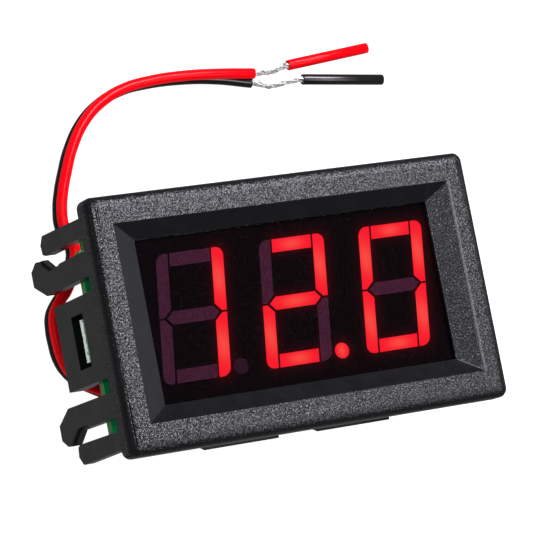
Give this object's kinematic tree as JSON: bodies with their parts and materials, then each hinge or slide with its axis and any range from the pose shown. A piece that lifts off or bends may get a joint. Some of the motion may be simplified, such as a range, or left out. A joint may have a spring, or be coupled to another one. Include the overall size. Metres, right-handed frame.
{
  "type": "digital panel meter",
  "caption": "Snap-in LED panel voltmeter with a red digit display that reads 12.0, and a red and a black wire.",
  "frame": {"origin": "in the plane that the meter lies on, below the middle of the bezel", "axes": "+Z out of the display, +X towards the reader's right along the bezel, +Y to the top of the digits"},
  "size_m": [0.0518, 0.0473, 0.0229],
  "materials": {
    "black_plastic": "moulded black ABS, fine grain on the bezel's face",
    "smoked_film": "smoked red transparent film, satin",
    "display_black": "matt black case",
    "epoxy": "poured epoxy",
    "tinned_metal": "tinned leads",
    "led_lit": "light guide, lit red",
    "led_dark": "light guide, unlit",
    "board_green": "green solder mask",
    "solder": "bright solder",
    "package_black": "moulded package",
    "tantalum_yellow": "moulded package",
    "ceramic_tan": "matt",
    "white_nylon": "moulded",
    "brass": "plain",
    "red_pvc": "PVC insulation",
    "black_pvc": "PVC insulation",
    "tinned_strand": "tinned copper strands, twisted"
  },
  "bodies": {
    "meter": {"housing": "black_plastic", "window_film": "smoked_film", "display_case": "display_black", "display_potting": "epoxy", "display_pins": "tinned_metal", "left_digit_lit": "led_lit", "left_digit_dark": "led_dark", "middle_digit_lit": "led_lit", "middle_digit_dark": "led_dark", "right_digit_lit": "led_lit", "right_digit_dark": "led_dark", "point_lit": "led_lit", "point_dark": "led_dark", "circuit_board": "board_green", "pin_solder": "solder", "wire_solder": "solder", "controller_body": "package_black", "controller_leads": "tinned_metal", "regulator_body": "package_black", "regulator_tabs": "tinned_metal", "diode_body": "package_black", "diode_terminals": "tinned_metal", "tantalum_body": "tantalum_yellow", "tantalum_terminals": "tinned_metal", "resistor_bodies": "package_black", "resistor_caps": "solder", "capacitor_bodies": "ceramic_tan", "capacitor_caps": "solder", "transistor_bodies": "package_black", "transistor_leads": "tinned_metal", "trimmer_base": "white_nylon", "trimmer_terminals": "tinned_metal", "cord_red": "red_pvc", "cord_black": "black_pvc", "strands_red": "tinned_strand", "strands_black": "tinned_strand", "slug_red": "red_pvc", "slug_black": "black_pvc"},
    "trimmer": {"trimmer_rotor": "brass"}
  },
  "joints": [
    {"name": "trimmer_turn", "type": "hinge", "parent": "meter", "child": "trimmer", "pos_m": [-0.0145, 0.0046, 0.0097], "axis": [0, 0, -1], "range_deg": [-120, 120]}
  ]
}
